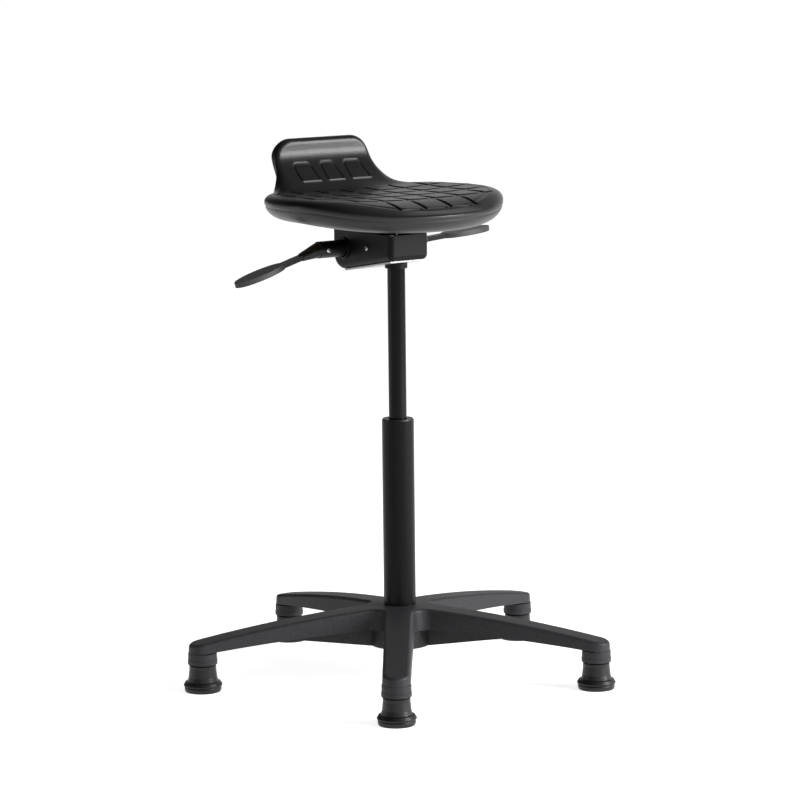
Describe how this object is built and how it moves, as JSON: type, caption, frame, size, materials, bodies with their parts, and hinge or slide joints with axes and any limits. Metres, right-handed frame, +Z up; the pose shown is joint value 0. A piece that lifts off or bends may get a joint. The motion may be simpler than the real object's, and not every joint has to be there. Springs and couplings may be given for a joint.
{
  "type": "perch stool",
  "caption": "Perch stool: moulded foam seat with a low back lip on a tilting mechanism, gas lift column and star base standing on bell glides.",
  "frame": {"origin": "on the floor under the column's axis", "axes": "+Z up along the column, -Y the way the sitter faces, +X the sitter's left"},
  "size_m": [0.6664, 0.6367, 0.834],
  "materials": {
    "base_nylon": "fine moulded texture",
    "glide_plastic": "smooth moulded",
    "black_plastic": "moulded",
    "tube_paint": "satin black powder coat",
    "cylinder_paint": "gloss black",
    "housing_paint": "satin black powder coat",
    "lever_paint": "satin black",
    "lever_plastic": "moulded",
    "paddle_plastic": "moulded",
    "zinc_steel": "bright zinc plated",
    "bright_steel": "ground",
    "seal_rubber": "moulded",
    "insert_board": "plywood",
    "seat_skin": "integral skin foam, fine grain"
  },
  "bodies": {
    "base": {"star_base": "base_nylon", "glide_bell_1": "glide_plastic", "glide_bell_2": "glide_plastic", "glide_bell_3": "glide_plastic", "glide_bell_4": "glide_plastic", "glide_bell_5": "glide_plastic", "glide_stems": "zinc_steel", "stem_grip_rings": "zinc_steel", "column_tube": "tube_paint", "column_bush": "black_plastic", "thrust_washer_lower": "zinc_steel", "bearing_balls": "bright_steel", "bearing_cage": "black_plastic"},
    "rod": {"piston_rod": "bright_steel", "piston": "zinc_steel", "piston_seal": "seal_rubber", "thrust_washer_upper": "zinc_steel", "bump_stop": "seal_rubber", "retaining_clip": "zinc_steel"},
    "carriage": {"pressure_cylinder": "cylinder_paint", "rod_guide": "black_plastic", "rod_seal": "seal_rubber", "valve_body": "black_plastic", "mechanism_housing": "housing_paint", "taper_socket": "housing_paint", "bottom_plate": "zinc_steel", "pivot_axle": "bright_steel", "axle_screws": "zinc_steel", "clamp_bracket": "housing_paint", "clamp_bolt": "zinc_steel", "friction_washers": "black_plastic", "disc_spring": "bright_steel", "clamp_nut": "zinc_steel", "lift_lever_ring": "lever_plastic", "tilt_lever_ring": "lever_plastic", "lever_pins": "bright_steel", "tilt_spring": "bright_steel"},
    "seat": {"seat_plate": "housing_paint", "axle_bushes": "black_plastic", "tilt_quadrant": "housing_paint", "seat_bolts": "zinc_steel", "bolt_washers": "zinc_steel", "seat_insert": "insert_board", "insert_nuts": "zinc_steel", "seat_foam": "seat_skin"},
    "lift_lever": {"lift_trigger": "zinc_steel", "lift_lever_rod": "lever_paint", "lift_lever_sleeve": "lever_plastic", "lift_lever_rivet": "bright_steel", "lift_lever_boot": "lever_plastic", "lift_lever_paddle": "paddle_plastic"},
    "tilt_lever": {"tilt_lever_rod": "lever_paint", "tilt_lever_sleeve": "lever_plastic", "tilt_lever_rivet": "bright_steel", "tilt_lever_boot": "lever_plastic", "tilt_lever_paddle": "paddle_plastic"},
    "valve_pin": {"valve_pin": "bright_steel"},
    "release_plunger": {"release_plunger": "bright_steel"}
  },
  "joints": [
    {"name": "seat_swivel", "type": "hinge", "parent": "base", "child": "rod", "pos_m": [0, 0, 0], "axis": [0, 0, 1], "continuous": true},
    {"name": "height_lift", "type": "slide", "parent": "rod", "child": "carriage", "axis": [0, 0, 1], "range_m": [-0.23, 0]},
    {"name": "seat_tilt", "type": "hinge", "parent": "carriage", "child": "seat", "pos_m": [0, 0.026, 0.674], "axis": [1, 0, 0], "range_deg": [0, 12]},
    {"name": "lift_lever", "type": "hinge", "parent": "carriage", "child": "lift_lever", "pos_m": [-0.037, 0.089, 0.669], "axis": [0, 1, 0], "range_deg": [0, 5], "stiffness_Nm_per_rad": 4, "springref_deg": -8.59},
    {"name": "valve_press", "type": "slide", "parent": "carriage", "child": "valve_pin", "axis": [0, 0, -1], "range_m": [0, 0.0034]},
    {"name": "tilt_lever", "type": "hinge", "parent": "carriage", "child": "tilt_lever", "pos_m": [0.037, 0.089, 0.669], "axis": [0, -1, 0], "range_deg": [0, 5], "stiffness_Nm_per_rad": 4, "springref_deg": -8.59},
    {"name": "clamp_release", "type": "slide", "parent": "carriage", "child": "release_plunger", "axis": [0, 0, -1], "range_m": [0, 0.0017]}
  ],
  "couplings": [
    {"joint": "valve_press", "follows": "lift_lever", "m_per_rad": 0.038},
    {"joint": "clamp_release", "follows": "tilt_lever", "m_per_rad": 0.019}
  ]
}
